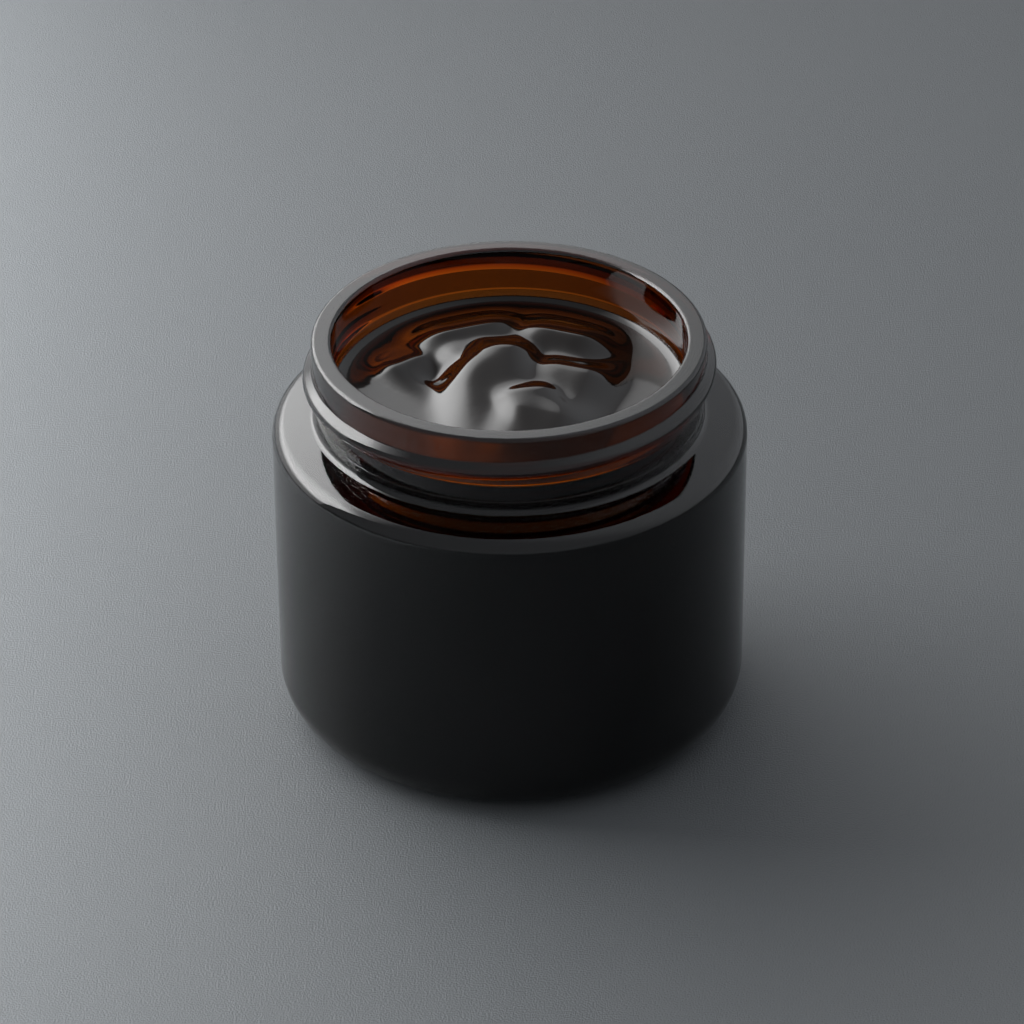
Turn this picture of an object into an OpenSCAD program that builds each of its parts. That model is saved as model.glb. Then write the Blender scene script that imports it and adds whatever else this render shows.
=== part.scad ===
// Cream jar of thick amber glass with straight sides and a screw neck, holding a set balm.
// Millimetres, +Z up. The origin is the centre of the bearing ring that the jar stands on.

/* [Body] */
// Outside diameter of the straight side wall
body_d = 54.5; // [52:0.5:72]
// Height of the body, from the table to the crown of the shoulder's edge
body_h = 37.3; // [30:0.1:60]
// Thickness of the side wall
body_wall = 3.2; // [2.4:0.1:4]
// Thickness of the glass floor under the cavity
floor_t = 5.5; // [4:0.5:9]
// Radius of the outside heel
heel_r = 5.3; // [3.5:0.1:6.5]
// Radius of the corner between the cavity's wall and its floor
cavity_heel_r = 4.5; // [2:0.5:6]
// Radius of the shoulder's outer edge
shoulder_edge_r = 1.8; // [0.8:0.1:2.2]
// Fall of the shoulder away from the neck, in degrees
shoulder_slope = 11; // [4:1:14]
// Thickness of the glass under the shoulder's edge
shoulder_t = 3.8; // [3:0.1:5]
// Radius of the cavity's corner under the shoulder
cavity_shoulder_r = 1.7; // [1:0.1:4]

/* [Underside] */
// Diameter of the shallow push-up inside the bearing ring
pushup_d = 36; // [28:1:40]
// Height of the push-up at its middle
pushup_h = 1.1; // [0.5:0.1:2]

/* [Neck] */
// Diameter of the neck wall, at the root of the thread
neck_d = 45; // [36:0.1:45.5]
// Height of the neck, from the crown of the shoulder's edge to the rim
neck_h = 10.5; // [8.5:0.1:14]
// Thickness of the neck wall, between the root of the thread and the mouth
neck_wall = 2.35; // [2:0.05:3]
// Depth by which the waist under the thread is cut back from the neck wall
waist_cut = 0.4; // [0.1:0.05:0.6]
// Height of the waist, above the crown of the shoulder's edge
waist_h = 4.3; // [3:0.1:5]
// Height over which the waist widens to the neck wall
waist_flare = 1; // [0.5:0.1:1.5]
// Height of the mould seam, above the crown of the shoulder's edge
seam_h = 2.2; // [1.8:0.1:2.8]
// Radius of the bead that the mould seam leaves
seam_r = 0.12; // [0.08:0.01:0.2]
// Radius of the hollow corner where the neck meets the shoulder
neck_root_r = 0.9; // [0.6:0.1:1.4]
// Radius of the corner where the cavity narrows into the mouth
mouth_root_r = 1.5; // [1:0.1:3]

/* [Rim] */
// Radius of the rim's outer edge
rim_outer_r = 0.45; // [0.3:0.05:0.75]
// Radius of the rim's inner edge
rim_inner_r = 0.45; // [0.3:0.05:0.7]

/* [Thread] */
// Height of the thread's crest above the neck wall
thread_h = 1.05; // [0.8:0.05:1.4]
// Rise of the thread in one turn, eight turns to the inch
thread_pitch = 3.175; // [2.5:0.005:3.85]
// Width of the thread where it leaves the neck wall
thread_w = 2.4; // [1.6:0.1:2.9]
// Number of turns, with both run-outs
thread_turns = 1.1; // [1:0.05:1.4]
// Depth of the crest below the rim where the upper end starts
thread_depth = 1.75; // [1.7:0.05:3]
// Direction of the upper end, in degrees from +X
thread_start = 165; // [0:5:355]
// Angle over which each end of the thread fades into the neck, in degrees
thread_fade = 30; // [15:5:60]

/* [Balm] */
// Depth of the balm's surface below the rim
balm_depth = 6.2; // [4:0.1:20]
// Clearance between the balm and the glass
balm_gap = 0.2; // [0.1:0.05:0.3]

/* [Hidden] */
$fn = 96;

body_r = body_d / 2;
neck_r = neck_d / 2;
waist_r = neck_r - waist_cut;
mouth_r = neck_r - neck_wall;
pushup_r = pushup_d / 2;
cavity_r = body_r - body_wall;
rim_z = body_h + neck_h;
ceiling_z = body_h - shoulder_t;
waist_z = body_h + waist_h;
seam_z = body_h + seam_h;

// The cavity's two corners share the ledge between its wall and the mouth, and neither takes half of it
ledge = cavity_r - mouth_r;
ledge_share = 0.45;
cavity_corner_r = min(cavity_shoulder_r, ledge_share * ledge);
mouth_corner_r = min(mouth_root_r, ledge_share * ledge);

// The shoulder is a cone that leaves its edge's arc at a tangent and meets the waist at shoulder_z
edge_x = body_r - shoulder_edge_r;
edge_z = body_h - shoulder_edge_r;
crown_x = edge_x + shoulder_edge_r * sin(shoulder_slope);
crown_z = edge_z + shoulder_edge_r * cos(shoulder_slope);
shoulder_z = crown_z + (crown_x - waist_r) * tan(shoulder_slope);

// Centre of the hollow corner that touches both the waist and the shoulder's cone
root_x = waist_r + neck_root_r;
root_z = shoulder_z + neck_root_r * (1 - sin(shoulder_slope)) / cos(shoulder_slope);

// The thread's section is half an oval, whose flat side is sunk into the glass, under the waist's surface too
thread_cover = 0.4;
thread_sink = waist_cut + thread_cover;
thread_reach = thread_h + thread_sink;
thread_base_r = neck_r - thread_sink;
thread_oval = thread_w / 2 / sqrt(1 - pow(thread_sink / thread_reach, 2));
thread_step = 5;
thread_sides = 12;
thread_rings = ceil(thread_turns * 360 / thread_step);

amber = [0.20, 0.09, 0.03];
dark_brown = [0.09, 0.05, 0.03];

function ease(t) = t <= 0 ? 0 : t >= 1 ? 1 : t * t * (3 - 2 * t);

// Share of the full thread height at a ring, falling to almost nothing at both ends
function fade(ring) =
    let(from_start = ring * thread_step, from_end = (thread_rings - ring) * thread_step)
    max(0.02, ease(min(from_start, from_end) / thread_fade));

function thread_point(ring, side) =
    let(turn = thread_start - ring * thread_step,
        share = fade(ring),
        tilt = 180 * side / thread_sides - 90,
        r = thread_base_r + share * thread_reach * cos(tilt),
        z = rim_z - thread_depth - thread_pitch * ring * thread_step / 360
            + thread_oval * (0.5 + 0.5 * share) * sin(tilt))
    [r * cos(turn), r * sin(turn), z];

// A disc in the right half of the revolved outline
module dot(x, z, r) {
    translate([x, z]) circle(r);
}

// A plain band of the revolved outline, from the axis to r and from z0 to z1
module band(r, z0, z1) {
    translate([0, z0]) square([r, z1 - z0]);
}

module body_outline() {
    band(body_r, heel_r, edge_z);
    band(body_r - heel_r, 0, heel_r);
    dot(body_r - heel_r, heel_r, heel_r);
    dot(edge_x, edge_z, shoulder_edge_r);
    polygon([[0, edge_z], [edge_x, edge_z], [crown_x, crown_z], [waist_r, shoulder_z], [0, shoulder_z]]);
}

module neck_outline() {
    band(waist_r, body_h, waist_z);
    dot(waist_r, seam_z, seam_r);
    polygon([[0, waist_z], [waist_r, waist_z], [neck_r, waist_z + waist_flare], [0, waist_z + waist_flare]]);
    band(neck_r, waist_z + waist_flare, rim_z - rim_outer_r);
    band(neck_r - rim_outer_r, rim_z - rim_outer_r, rim_z);
    dot(neck_r - rim_outer_r, rim_z - rim_outer_r, rim_outer_r);
}

module neck_root_outline() {
    difference() {
        polygon([[waist_r, shoulder_z], [waist_r, root_z], [root_x, root_z],
                 [root_x - neck_root_r * sin(shoulder_slope), root_z - neck_root_r * cos(shoulder_slope)]]);
        dot(root_x, root_z, neck_root_r);
    }
}

// The hollow inside the glass, drawn smaller by gap on every side for what fills it
module cavity_outline(gap) {
    r = cavity_r - gap;
    bottom = floor_t + gap;
    ceiling = ceiling_z - gap;
    heel = cavity_heel_r - gap;
    corner = cavity_corner_r - gap;
    band(r, bottom + heel, ceiling - corner);
    band(r - heel, bottom, bottom + heel);
    dot(r - heel, bottom + heel, heel);
    band(r - corner, ceiling - corner, ceiling);
    dot(r - corner, ceiling - corner, corner);
    band(mouth_r - gap, ceiling, rim_z);
    difference() {
        translate([mouth_r - gap, ceiling]) square(mouth_corner_r + gap);
        dot(mouth_r + mouth_corner_r, ceiling_z + mouth_corner_r, mouth_corner_r + gap);
    }
}

// What the rounding of the rim's inner edge takes off the mouth's corner
module rim_inner_outline() {
    difference() {
        translate([mouth_r, rim_z - rim_inner_r]) square(rim_inner_r);
        dot(mouth_r + rim_inner_r, rim_z - rim_inner_r, rim_inner_r);
    }
}

// The shallow hollow under the floor, the part of a large circle above the table
module pushup_outline() {
    arc_r = (pushup_r * pushup_r + pushup_h * pushup_h) / (2 * pushup_h);
    intersection() {
        dot(0, pushup_h - arc_r, arc_r);
        band(pushup_r, 0, pushup_h);
    }
}

module thread() {
    row = thread_sides + 1;
    points = [for (ring = [0:thread_rings], side = [0:thread_sides]) thread_point(ring, side)];
    start_cap = [for (side = [0:thread_sides]) side];
    end_cap = [for (side = [0:thread_sides]) thread_rings * row + thread_sides - side];
    skin = [for (ring = [0:thread_rings - 1], side = [0:thread_sides])
        let(a = ring * row + side, b = ring * row + (side + 1) % row)
        each [[a, a + row, b], [b, a + row, b + row]]];
    polyhedron(points, concat([start_cap, end_cap], skin));
}

module glass_jar() {
    color(amber) union() {
        rotate_extrude() difference() {
            union() {
                body_outline();
                neck_outline();
                neck_root_outline();
            }
            cavity_outline(0);
            rim_inner_outline();
            pushup_outline();
        }
        thread();
    }
}

module balm_fill() {
    color(dark_brown) rotate_extrude() intersection() {
        cavity_outline(balm_gap);
        band(body_r, 0, rim_z - balm_depth);
    }
}

glass_jar();
balm_fill();
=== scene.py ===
import math

import bpy
import numpy as np
from mathutils import Matrix, Vector


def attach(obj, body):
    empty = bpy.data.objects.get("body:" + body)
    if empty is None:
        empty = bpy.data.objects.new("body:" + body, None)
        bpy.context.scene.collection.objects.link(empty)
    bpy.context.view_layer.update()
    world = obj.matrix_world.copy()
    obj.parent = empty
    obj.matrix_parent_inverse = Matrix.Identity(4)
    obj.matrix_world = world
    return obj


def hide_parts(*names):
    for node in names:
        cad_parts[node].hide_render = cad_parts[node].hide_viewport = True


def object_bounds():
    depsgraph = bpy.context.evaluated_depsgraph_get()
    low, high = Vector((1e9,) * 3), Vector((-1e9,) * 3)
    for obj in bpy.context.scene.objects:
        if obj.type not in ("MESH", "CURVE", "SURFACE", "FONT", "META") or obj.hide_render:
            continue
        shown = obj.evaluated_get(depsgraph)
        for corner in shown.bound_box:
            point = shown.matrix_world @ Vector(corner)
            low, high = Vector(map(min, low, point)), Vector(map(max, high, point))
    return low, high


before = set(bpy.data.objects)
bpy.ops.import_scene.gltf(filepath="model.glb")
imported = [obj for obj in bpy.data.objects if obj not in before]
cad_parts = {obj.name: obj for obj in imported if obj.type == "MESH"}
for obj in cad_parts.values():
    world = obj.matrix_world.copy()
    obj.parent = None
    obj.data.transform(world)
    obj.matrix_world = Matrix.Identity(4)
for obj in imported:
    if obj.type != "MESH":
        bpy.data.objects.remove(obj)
cad_low, cad_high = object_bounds()

MM = 0.001

# The jar's outside size comes from the frame. The rest of its section, in millimetres and degrees, repeats
# the CAD model's, except for the waist's flare, which is tighter here
body_r = (cad_high.x - cad_low.x) / 2 / MM
rim_z = cad_high.z / MM
neck_h = 10.5
body_h = rim_z - neck_h
body_wall = 3.2
floor_t = 5.5
heel_r = 5.3
cavity_heel_r = 4.5
shoulder_edge_r = 1.8
shoulder_slope = 11
shoulder_t = 3.8
cavity_corner_r = 1.7
pushup_r = 18
pushup_h = 1.1
neck_r = 22.5
neck_wall = 2.35
waist_cut = 0.4
waist_h = 4.3
waist_flare = 0.5
seam_h = 2.2
seam_r = 0.12
neck_root_r = 0.9
mouth_corner_r = 1.5
rim_outer_r = 0.45
rim_inner_r = 0.45
thread_h = 1.05
thread_pitch = 3.175
thread_turns = 1.1
thread_depth = 1.75
thread_start = 165
thread_fade = 30
balm_depth = 6.2

waist_r = neck_r - waist_cut
waist_z = body_h + waist_h
seam_z = body_h + seam_h
mouth_r = neck_r - neck_wall
cavity_r = body_r - body_wall
ceiling_z = body_h - shoulder_t
balm_z = rim_z - balm_depth

# The thread's section has a round crest and hollow roots, joined by straight flanks, where the CAD model has
# half an oval
crest_r = 0.75
root_fillet_r = 0.2
flank_angle = 56

# Share of its width that the thread still has at the tip of a run-out
tip_width = 0.5

# How finely the meshes follow the section
columns = 360
arc_step = 0.12
least_arc_steps = 6
line_step = 3
neck_rows = 190
neck_samples = 2400
balm_rings = 150

# A straight line has a point this close to each of its ends, which keeps its shading flat
guard = 0.04

# The neck's rows are spaced by length, and a radian of turn counts as this much more, so they crowd at curves
turn_weight = 0.5

# The balm's rings crowd a little towards its edge
ring_power = 0.9

# The balm wets the glass, so its skin lies this far inside the glass
wet = 0.02

# The balm's side starts at least this far below the edge of its top
edge_step = 0.1


def ease(t):
    """A smooth step from 0 to 1."""
    t = np.clip(t, 0, 1)
    return t * t * (3 - 2 * t)


def arc(x, z, radius, start, end):
    """Points of the section on an arc round (x, z), from start to end in degrees."""
    count = max(least_arc_steps, math.ceil(abs(math.radians(end - start)) * radius / arc_step))
    angles = np.radians(np.linspace(start, end, count + 1))
    return np.column_stack([x + radius * np.cos(angles), z + radius * np.sin(angles)])


def line(x0, z0, x1, z1):
    """Points of the section on a straight line between two ends."""
    length = math.hypot(x1 - x0, z1 - z0)
    count = max(1, math.ceil(length / line_step))
    inner = np.linspace(guard / length, 1 - guard / length, count + 1)
    t = np.concatenate([[0], inner, [1]])[:, None]
    return np.array([[x0, z0]]) * (1 - t) + np.array([[x1, z1]]) * t


def section(*runs):
    """One run of points from several that meet end to end."""
    kept = [runs[0]] + [run[1:] for run in runs[1:]]
    return np.concatenate(kept)


def body_section():
    """The outside of the glass, from the middle of the push-up to the foot of the waist."""
    slope = math.radians(shoulder_slope)
    edge_x = body_r - shoulder_edge_r
    edge_z = body_h - shoulder_edge_r
    crown_x = edge_x + shoulder_edge_r * math.sin(slope)
    crown_z = edge_z + shoulder_edge_r * math.cos(slope)
    shoulder_z = crown_z + (crown_x - waist_r) * math.tan(slope)
    root_x = waist_r + neck_root_r
    root_z = shoulder_z + neck_root_r * (1 - math.sin(slope)) / math.cos(slope)
    foot_x = root_x - neck_root_r * math.sin(slope)
    foot_z = root_z - neck_root_r * math.cos(slope)
    dome_r = (pushup_r ** 2 + pushup_h ** 2) / (2 * pushup_h)
    dome_end = math.degrees(math.asin((dome_r - pushup_h) / dome_r))
    return section(
        arc(0, pushup_h - dome_r, dome_r, 90, dome_end),
        line(pushup_r, 0, body_r - heel_r, 0),
        arc(body_r - heel_r, heel_r, heel_r, -90, 0),
        line(body_r, heel_r, body_r, edge_z),
        arc(edge_x, edge_z, shoulder_edge_r, 0, 90 - shoulder_slope),
        line(crown_x, crown_z, foot_x, foot_z),
        arc(root_x, root_z, neck_root_r, 270 - shoulder_slope, 180),
    )


def mouth_section():
    """From the outer edge of the rim, over it and down the mouth's wall to the balm's cavity."""
    return section(
        arc(neck_r - rim_outer_r, rim_z - rim_outer_r, rim_outer_r, 0, 90),
        line(neck_r - rim_outer_r, rim_z, mouth_r + rim_inner_r, rim_z),
        arc(mouth_r + rim_inner_r, rim_z - rim_inner_r, rim_inner_r, 90, 180),
        line(mouth_r, rim_z - rim_inner_r, mouth_r, balm_z),
    )


def cavity_section(grow):
    """From the balm's edge down the wall and over the floor to its middle, moved into the glass by grow."""
    corner = mouth_corner_r - grow
    outer_corner = cavity_corner_r + grow
    heel = cavity_heel_r + grow
    r = cavity_r + grow
    top = ceiling_z + grow
    bottom = floor_t - grow
    return section(
        line(mouth_r + grow, balm_z, mouth_r + grow, ceiling_z + mouth_corner_r),
        arc(mouth_r + mouth_corner_r, ceiling_z + mouth_corner_r, corner, 180, 270),
        line(mouth_r + mouth_corner_r, top, r - outer_corner, top),
        arc(r - outer_corner, top - outer_corner, outer_corner, 90, 0),
        line(r, top - outer_corner, r, bottom + heel),
        arc(r - heel, bottom + heel, heel, 0, -90),
        line(r - heel, bottom, 0, bottom),
    )


def thread_section(u):
    """Height of the full thread above the wall, at a distance u up or down from the middle of its crest."""
    flank = math.radians(flank_angle)
    arcs = (crest_r + root_fillet_r) * (1 - math.cos(flank))
    flank_l = (thread_h - arcs) / math.sin(flank)
    crest_end = crest_r * math.sin(flank)
    flank_end = crest_end + flank_l * math.cos(flank)
    half_w = flank_end + root_fillet_r * math.sin(flank)
    u = np.abs(u)
    crest = thread_h - crest_r + np.sqrt(np.maximum(crest_r ** 2 - u ** 2, 0))
    flank_top = thread_h - crest_r * (1 - math.cos(flank))
    straight = flank_top - (u - crest_end) * math.tan(flank)
    inward = np.clip(half_w - u, 0, root_fillet_r)
    root = root_fillet_r - np.sqrt(root_fillet_r ** 2 - inward ** 2)
    height = np.where(u < crest_end, crest, np.where(u < flank_end, straight, root))
    return np.where(u < half_w, height, 0)


def neck_outside(theta, z):
    """Radius of the neck's outside at an angle in degrees and the heights z."""
    seam = np.sqrt(np.maximum(seam_r ** 2 - (z - seam_z) ** 2, 0))
    flare = waist_cut * ease((z - waist_z) / waist_flare)
    thread = np.zeros_like(z)
    turned = (thread_start - theta) % 360
    while turned < thread_turns * 360:
        share = ease(min(turned, thread_turns * 360 - turned) / thread_fade)
        crest_z = rim_z - thread_depth - thread_pitch * turned / 360
        width = tip_width + (1 - tip_width) * share
        thread += share * thread_section((z - crest_z) / width)
        turned += 360
    return waist_r + np.maximum(seam, flare + thread)


def neck_sections(foot_z, head_z):
    """The waist, seam and threaded wall at every column, with more rows where the curve turns."""
    fine_z = np.linspace(foot_z, head_z, neck_samples)
    rows = np.linspace(0, 1, neck_rows + 1)
    found = []
    for column in range(columns):
        fine_r = neck_outside(360 * column / columns, fine_z)
        slope = np.arctan2(np.diff(fine_r), np.diff(fine_z))
        turns = np.abs(np.diff(slope, prepend=slope[0]))
        steps = np.hypot(np.diff(fine_z), np.diff(fine_r)) + turn_weight * turns
        along = np.concatenate([[0], np.cumsum(steps)])
        z = np.interp(rows * along[-1], along, fine_z)
        found.append(np.column_stack([np.interp(z, fine_z, fine_r), z]))
    return np.array(found)


def add_object(name, data):
    """A new object in the scene, made of the given data."""
    added = bpy.data.objects.new(name, data)
    bpy.context.scene.collection.objects.link(added)
    return added


def lathe(name, sections):
    """A closed mesh from one section per column, whose first and last points lie on the axis."""
    sections = np.asarray(sections)
    count, rows = sections.shape[:2]
    angles = np.radians(np.arange(count) * 360 / count)
    ring = sections[:, 1:-1]
    x = ring[:, :, 0] * np.cos(angles)[:, None]
    y = ring[:, :, 0] * np.sin(angles)[:, None]
    skin = np.stack([x, y, ring[:, :, 1]], axis=2).reshape(-1, 3)
    poles = [[0, 0, sections[0, 0, 1]], [0, 0, sections[0, -1, 1]]]
    points = np.concatenate([skin, poles]) * MM
    inner = rows - 2
    first_pole, last_pole = len(skin), len(skin) + 1
    faces = []
    for column in range(count):
        a, b = column * inner, (column + 1) % count * inner
        faces.append((first_pole, b, a))
        faces += [(a + row, b + row, b + row + 1, a + row + 1) for row in range(inner - 1)]
        faces.append((last_pole, a + inner - 1, b + inner - 1))
    mesh = bpy.data.meshes.new(name)
    mesh.from_pydata(points.tolist(), [], faces)
    mesh.shade_smooth()
    mesh.validate()
    return add_object(name, mesh)


def make_glass():
    """The glass jar in one closed skin."""
    body = body_section()
    mouth = mouth_section()
    cavity = cavity_section(0)
    neck = neck_sections(body[-1, 1], mouth[0, 1])
    inside = section(mouth, cavity)
    return lathe("glass_shell", [section(body, wall, inside) for wall in neck])


# The balm's swirled top, in millimetres and degrees: each mound's x, y, half width, depth of its back, depth
# of its front, turn and height, and the same of a furrow pressed into them
mounds = [
    (-2.2, 6.0, 5.8, 4.2, 14.0, 2, 2.9),
    (6.8, 2.6, 5.2, 4.4, 11.0, -20, 1.9),
    (2.0, -2.6, 4.2, 3.2, 8.0, 20, 2.0),
    (3.6, -6.4, 5.6, 6.0, 9.0, -18, 1.9),
    (-11.8, 6.0, 3.6, 3.4, 5.0, 38, 0.9),
    (-4.6, 12.0, 6.8, 4.4, 6.0, 20, 1.8),
    (6.0, 10.6, 6.2, 4.6, 5.0, -22, 1.9),
]
furrow = (-6.2, 5.4, 4.0, 2.0, 2.0, 46, 1.0)

# The power by which each falls off in front of its crest
mound_power = 1.3
furrow_power = 2

# The surface under the swirl: its height at the middle, its rise towards the back and its rise all round
balm_level = 39.9
balm_tilt = 0.4
balm_dish = 0.4

# The swirl begins at the first distance from the wall and has its full height from the second
swirl_start = 0.5
swirl_full = 4.5

# The balm climbs the wall in two curves, each with its height and its width
meniscus = ((0.6, 1.6), (0.3, 0.5))


def mound(x, y, place, front_power):
    """Height of a mound that is flat along its crest and falls off behind and in front of it."""
    crest_x, crest_y, width, back, front, turn, height = place
    c = math.cos(math.radians(turn))
    s = math.sin(math.radians(turn))
    u = ((x - crest_x) * c + (y - crest_y) * s) / width
    v = (y - crest_y) * c - (x - crest_x) * s
    fall = np.where(v > 0, (np.abs(v) / back) ** 2, (np.abs(v) / front) ** front_power)
    return height * np.exp(-u ** 4 - fall)


def balm_top(x, y):
    """Height of the balm's surface above the table, in millimetres."""
    r = np.minimum(np.hypot(x, y), mouth_r)
    inward = mouth_r - r
    heaped = np.cbrt(sum(mound(x, y, place, mound_power) ** 3 for place in mounds))
    swirl = heaped - mound(x, y, furrow, furrow_power)
    climb = sum(height * np.exp(-inward / width) for height, width in meniscus)
    bowl = balm_level + balm_tilt * y / mouth_r + balm_dish * (r / mouth_r) ** 2
    return bowl + swirl * ease((inward - swirl_start) / (swirl_full - swirl_start)) + climb


def make_balm():
    """The balm with its swirled top, filling the cavity."""
    side = cavity_section(wet)
    edge = mouth_r + wet
    radii = edge * (np.arange(balm_rings + 1) / balm_rings) ** ring_power
    sections = []
    for column in range(columns):
        angle = math.radians(360 * column / columns)
        top = np.column_stack([radii, balm_top(radii * math.cos(angle), radii * math.sin(angle))])
        below = side[side[:, 1] < top[-1, 1] - edge_step]
        sections.append(np.concatenate([top, below])[::-1])
    return lathe("balm_swirl", sections)


def new_material(name):
    """A new material, with the nodes and links of its tree and its shader."""
    material = bpy.data.materials.new(name)
    material.use_nodes = True
    tree = material.node_tree
    return material, tree.nodes, tree.links, tree.nodes["Principled BSDF"]


def noise(nodes, links, scale, detail, span):
    """Noise over the object's own space, scale per metre, spread over a span of values."""
    place = nodes.new("ShaderNodeTexCoord")
    texture = nodes.new("ShaderNodeTexNoise")
    texture.inputs["Scale"].default_value = scale
    texture.inputs["Detail"].default_value = detail
    links.new(place.outputs["Object"], texture.inputs["Vector"])
    spread = nodes.new("ShaderNodeMapRange")
    spread.inputs["To Min"].default_value = span[0]
    spread.inputs["To Max"].default_value = span[1]
    links.new(texture.outputs["Fac"], spread.inputs["Value"])
    return spread.outputs["Result"]


def bump(nodes, links, shader, height, distance):
    """Bump from a height of 0 to 1, distance metres high."""
    node = nodes.new("ShaderNodeBump")
    node.inputs["Distance"].default_value = distance
    links.new(height, node.inputs["Height"])
    links.new(node.outputs["Normal"], shader.inputs["Normal"])


def glass_material():
    """Clear glass that takes its amber from what it absorbs, with the faint waves of a moulding."""
    material, nodes, links, shader = new_material("amber_glass")
    shader.inputs["Base Color"].default_value = (1, 1, 1, 1)
    shader.inputs["Transmission Weight"].default_value = 1
    shader.inputs["IOR"].default_value = 1.52
    haze = noise(nodes, links, scale=90, detail=3, span=(0, 0.01))
    links.new(haze, shader.inputs["Roughness"])
    waves = noise(nodes, links, scale=70, detail=2, span=(0, 1))
    bump(nodes, links, shader, waves, distance=0.000004)
    tint = nodes.new("ShaderNodeVolumeAbsorption")
    tint.inputs["Color"].default_value = (0.755, 0.49, 0.02, 1)
    tint.inputs["Density"].default_value = 2450
    links.new(tint.outputs["Volume"], nodes["Material Output"].inputs["Volume"])
    return material


def balm_material():
    """A nearly black, glossy balm, a little duller in patches."""
    material, nodes, links, shader = new_material("glossy_balm")
    shader.inputs["Base Color"].default_value = (0.004, 0.002, 0.001, 1)
    shader.inputs["IOR"].default_value = 1.46
    patches = noise(nodes, links, scale=250, detail=3, span=(0.03, 0.09))
    links.new(patches, shader.inputs["Roughness"])
    ripples = noise(nodes, links, scale=400, detail=2, span=(0, 1))
    bump(nodes, links, shader, ripples, distance=0.00001)
    return material


def floor_material():
    """A plain matt board with a fine grain."""
    material, nodes, links, shader = new_material("pale_floor")
    shader.inputs["Base Color"].default_value = (0.094, 0.101, 0.106, 1)
    shader.inputs["Roughness"].default_value = 0.6
    grain = noise(nodes, links, scale=4200, detail=3, span=(0, 1))
    bump(nodes, links, shader, grain, distance=0.00012)
    return material


def dress(piece, material, node):
    """Gives a piece its finish and its place in the frame."""
    piece.data.materials.append(material)
    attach(piece, "root")
    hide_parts(node)


def make_floor():
    """A square of floor, a hair below the bearing ring so that the two don't share a plane."""
    half = 1.5
    hair = 0.00002
    corners = [(-half, -half, 0), (half, -half, 0), (half, half, 0), (-half, half, 0)]
    mesh = bpy.data.meshes.new("floor")
    mesh.from_pydata(corners, [], [(0, 1, 2, 3)])
    mesh.materials.append(floor_material())
    floor = add_object("floor", mesh)
    floor.location.z = -hair


def make_camera():
    """A long lens from the front, looking down at the jar. Its distance and its target are in body radii."""
    unit = body_r * MM
    elevation = math.radians(32.468)
    roll = -0.0069
    distance = 20 * unit
    target = Vector((0.0071, 0, 0.889)) * unit
    forward = Vector((0, math.cos(elevation), -math.sin(elevation)))
    right = Vector((1, 0, 0))
    up = right.cross(forward)
    turned_right = math.cos(roll) * right + math.sin(roll) * up
    turned_up = math.cos(roll) * up - math.sin(roll) * right
    axes = Matrix((turned_right, turned_up, -forward)).transposed().to_4x4()
    data = bpy.data.cameras.new("camera")
    data.lens = 165.2
    data.sensor_width = 36
    data.clip_start = 0.01
    camera = add_object("camera", data)
    camera.matrix_world = Matrix.Translation(target - distance * forward) @ axes
    bpy.context.scene.camera = camera


def area_light(name, size, radiance, axes, place):
    """A rectangle of light that the camera doesn't see. Its axes are its width, its height and its back."""
    data = bpy.data.lights.new(name, "AREA")
    data.shape = "RECTANGLE"
    data.size, data.size_y = size
    data.energy = radiance * size[0] * size[1] * math.pi
    lamp = add_object(name, data)
    lamp.matrix_world = Matrix.Translation(place) @ Matrix(axes).transposed().to_4x4()
    lamp.visible_camera = False
    return lamp


def combine(nodes, links, operation, first, second):
    """The sum or product of a node's output and another output or a plain number."""
    node = nodes.new("ShaderNodeMath")
    node.operation = operation
    links.new(first, node.inputs[0])
    if isinstance(second, (int, float)):
        node.inputs[1].default_value = second
    else:
        links.new(second, node.inputs[1])
    return node.outputs["Value"]


def ramp(nodes, links, source, stops):
    """Levels that follow the stops along a source. Each stop is a place from 0 to 1 and its level."""
    node = nodes.new("ShaderNodeValToRGB")
    elements = node.color_ramp.elements
    elements[0].position = stops[0][0]
    elements[1].position = stops[-1][0]
    for position, _ in stops[1:-1]:
        elements.new(position)
    for element, (position, level) in zip(elements, stops):
        element.color = (level, level, level, 1)
    links.new(source, node.inputs["Fac"])
    return node.outputs["Color"]


# How bright the softbox is across its width, from its right end at 0 to its left end at 1, and at heights
# above the table in metres
softbox_across = (
    (0, 0.04), (0.14, 0.12), (0.27, 0.2), (0.37, 0.34), (0.47, 0.58), (0.7, 0.88), (0.85, 1), (1, 0.9),
)
softbox_heights = (
    (0.01, 0.12), (0.08, 0.14), (0.11, 0.55), (0.14, 1), (0.3, 1), (0.335, 0.85),
    (0.365, 0.5), (0.405, 0.22), (0.45, 0.12), (0.51, 0.06), (0.57, 0.02), (0.65, 0),
)


def grade(lamp, across, upward, strength):
    """Makes a lamp's light follow the stops across its width and up its height."""
    lamp.data.use_nodes = True
    nodes = lamp.data.node_tree.nodes
    links = lamp.data.node_tree.links
    geometry = nodes.new("ShaderNodeNewGeometry")
    split = nodes.new("ShaderNodeSeparateXYZ")
    links.new(geometry.outputs["Parametric"], split.inputs[0])
    sideways = ramp(nodes, links, split.outputs["X"], across)
    upwards = ramp(nodes, links, split.outputs["Y"], upward)
    level = combine(nodes, links, "MULTIPLY", sideways, upwards)
    links.new(combine(nodes, links, "MULTIPLY", level, strength), nodes["Emission"].inputs["Strength"])


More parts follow.
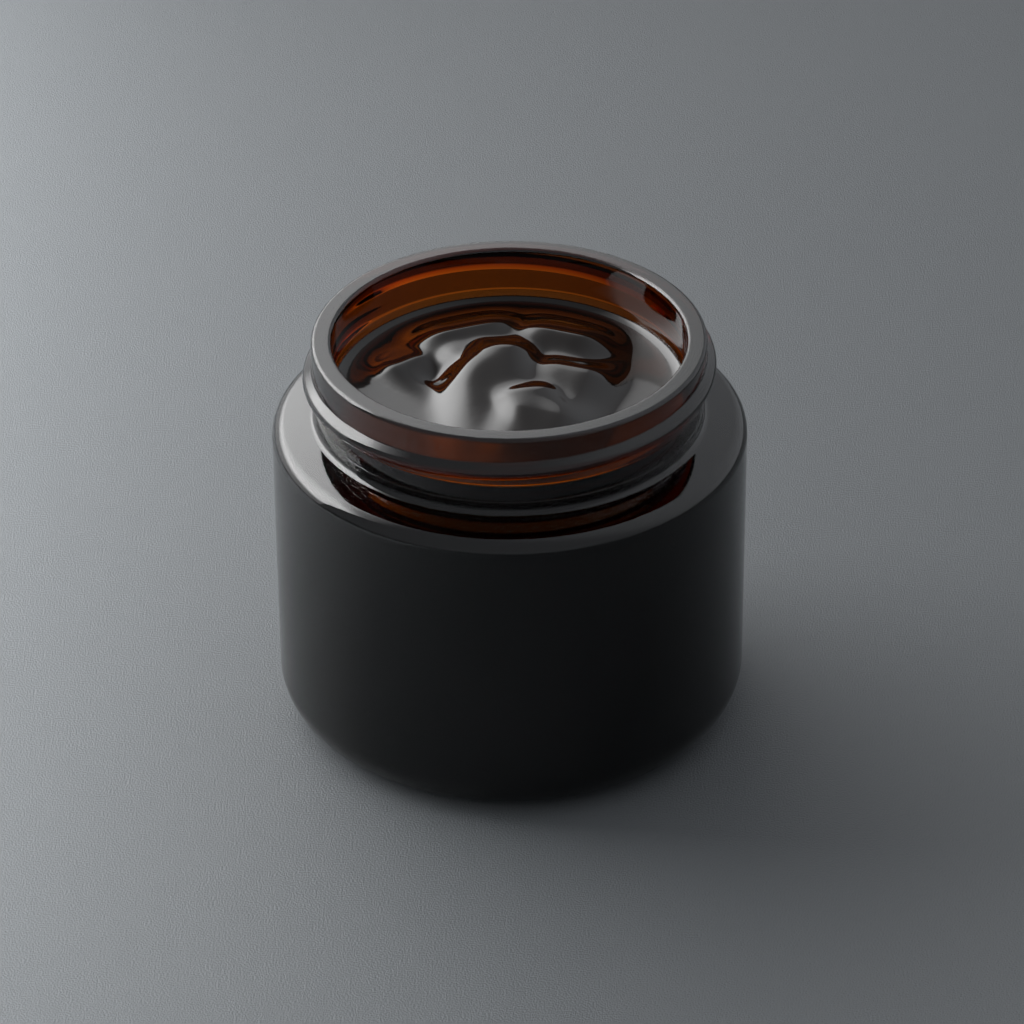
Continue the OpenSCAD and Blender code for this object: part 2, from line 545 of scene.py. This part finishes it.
def make_softbox():
    """A big soft panel behind the jar on its left, which fades towards the right and at its head and foot."""
    azimuth = math.radians(136)
    distance = 0.25
    left_end, right_end = -0.23, 0.36
    foot = softbox_heights[0][0]
    head = softbox_heights[-1][0]
    outward = Vector((math.cos(azimuth), math.sin(azimuth), 0))
    along = Vector((outward.y, -outward.x, 0))
    middle = outward * distance + along * (left_end + right_end) / 2 + Vector((0, 0, (foot + head) / 2))
    size = (right_end - left_end, head - foot)
    axes = (-along, Vector((0, 0, 1)), outward)
    lamp = area_light("left_softbox", size, 1, axes, middle)
    upward = [((height - foot) / (head - foot), level) for height, level in softbox_heights]
    grade(lamp, softbox_across, upward, strength=9)


def make_fill():
    """A low light over the floor on the left, which neither the glass nor the balm mirrors."""
    size = (0.1, 0.5)
    radiance = 7.8
    axes = (Vector((1, 0, 0)), Vector((0, 1, 0)), Vector((0, 0, 1)))
    place = Vector((-0.16, 0.03, 0.08))
    lamp = area_light("floor_fill", size, radiance, axes, place)
    lamp.data.spread = math.radians(140)
    lamp.visible_glossy = False
    lamp.visible_transmission = False


def glow(nodes, links, towards, start, end, rise):
    """Light that grows by rise while the cosine of a direction's angle to towards goes from start to end."""
    place = nodes.new("ShaderNodeTexCoord")
    cosine = nodes.new("ShaderNodeVectorMath")
    cosine.operation = "DOT_PRODUCT"
    cosine.inputs[1].default_value = Vector(towards).normalized()
    links.new(place.outputs["Generated"], cosine.inputs[0])
    growth = nodes.new("ShaderNodeMapRange")
    growth.interpolation_type = "SMOOTHSTEP"
    growth.inputs["From Min"].default_value = start
    growth.inputs["From Max"].default_value = end
    growth.inputs["To Max"].default_value = rise
    links.new(cosine.outputs["Value"], growth.inputs["Value"])
    return growth.outputs["Result"]


def make_world():
    """Dim room light all round, brighter high up on the right."""
    all_round = 0.38
    world = bpy.data.worlds.new("studio")
    world.use_nodes = True
    bpy.context.scene.world = world
    nodes = world.node_tree.nodes
    links = world.node_tree.links
    right = glow(nodes, links, towards=(0.8, 0.35, 0.6), start=0.5, end=0.97, rise=0.34)
    background = nodes["Background"]
    background.inputs["Color"].default_value = (0.95, 0.98, 1.03, 1)
    links.new(combine(nodes, links, "ADD", right, all_round), background.inputs["Strength"])


make_camera()
glass = make_glass()
balm = make_balm()
dress(glass, glass_material(), "glass_jar")
dress(balm, balm_material(), "balm_fill")
make_floor()
make_world()
make_softbox()
make_fill()
bpy.context.scene.view_settings.view_transform = "Standard"
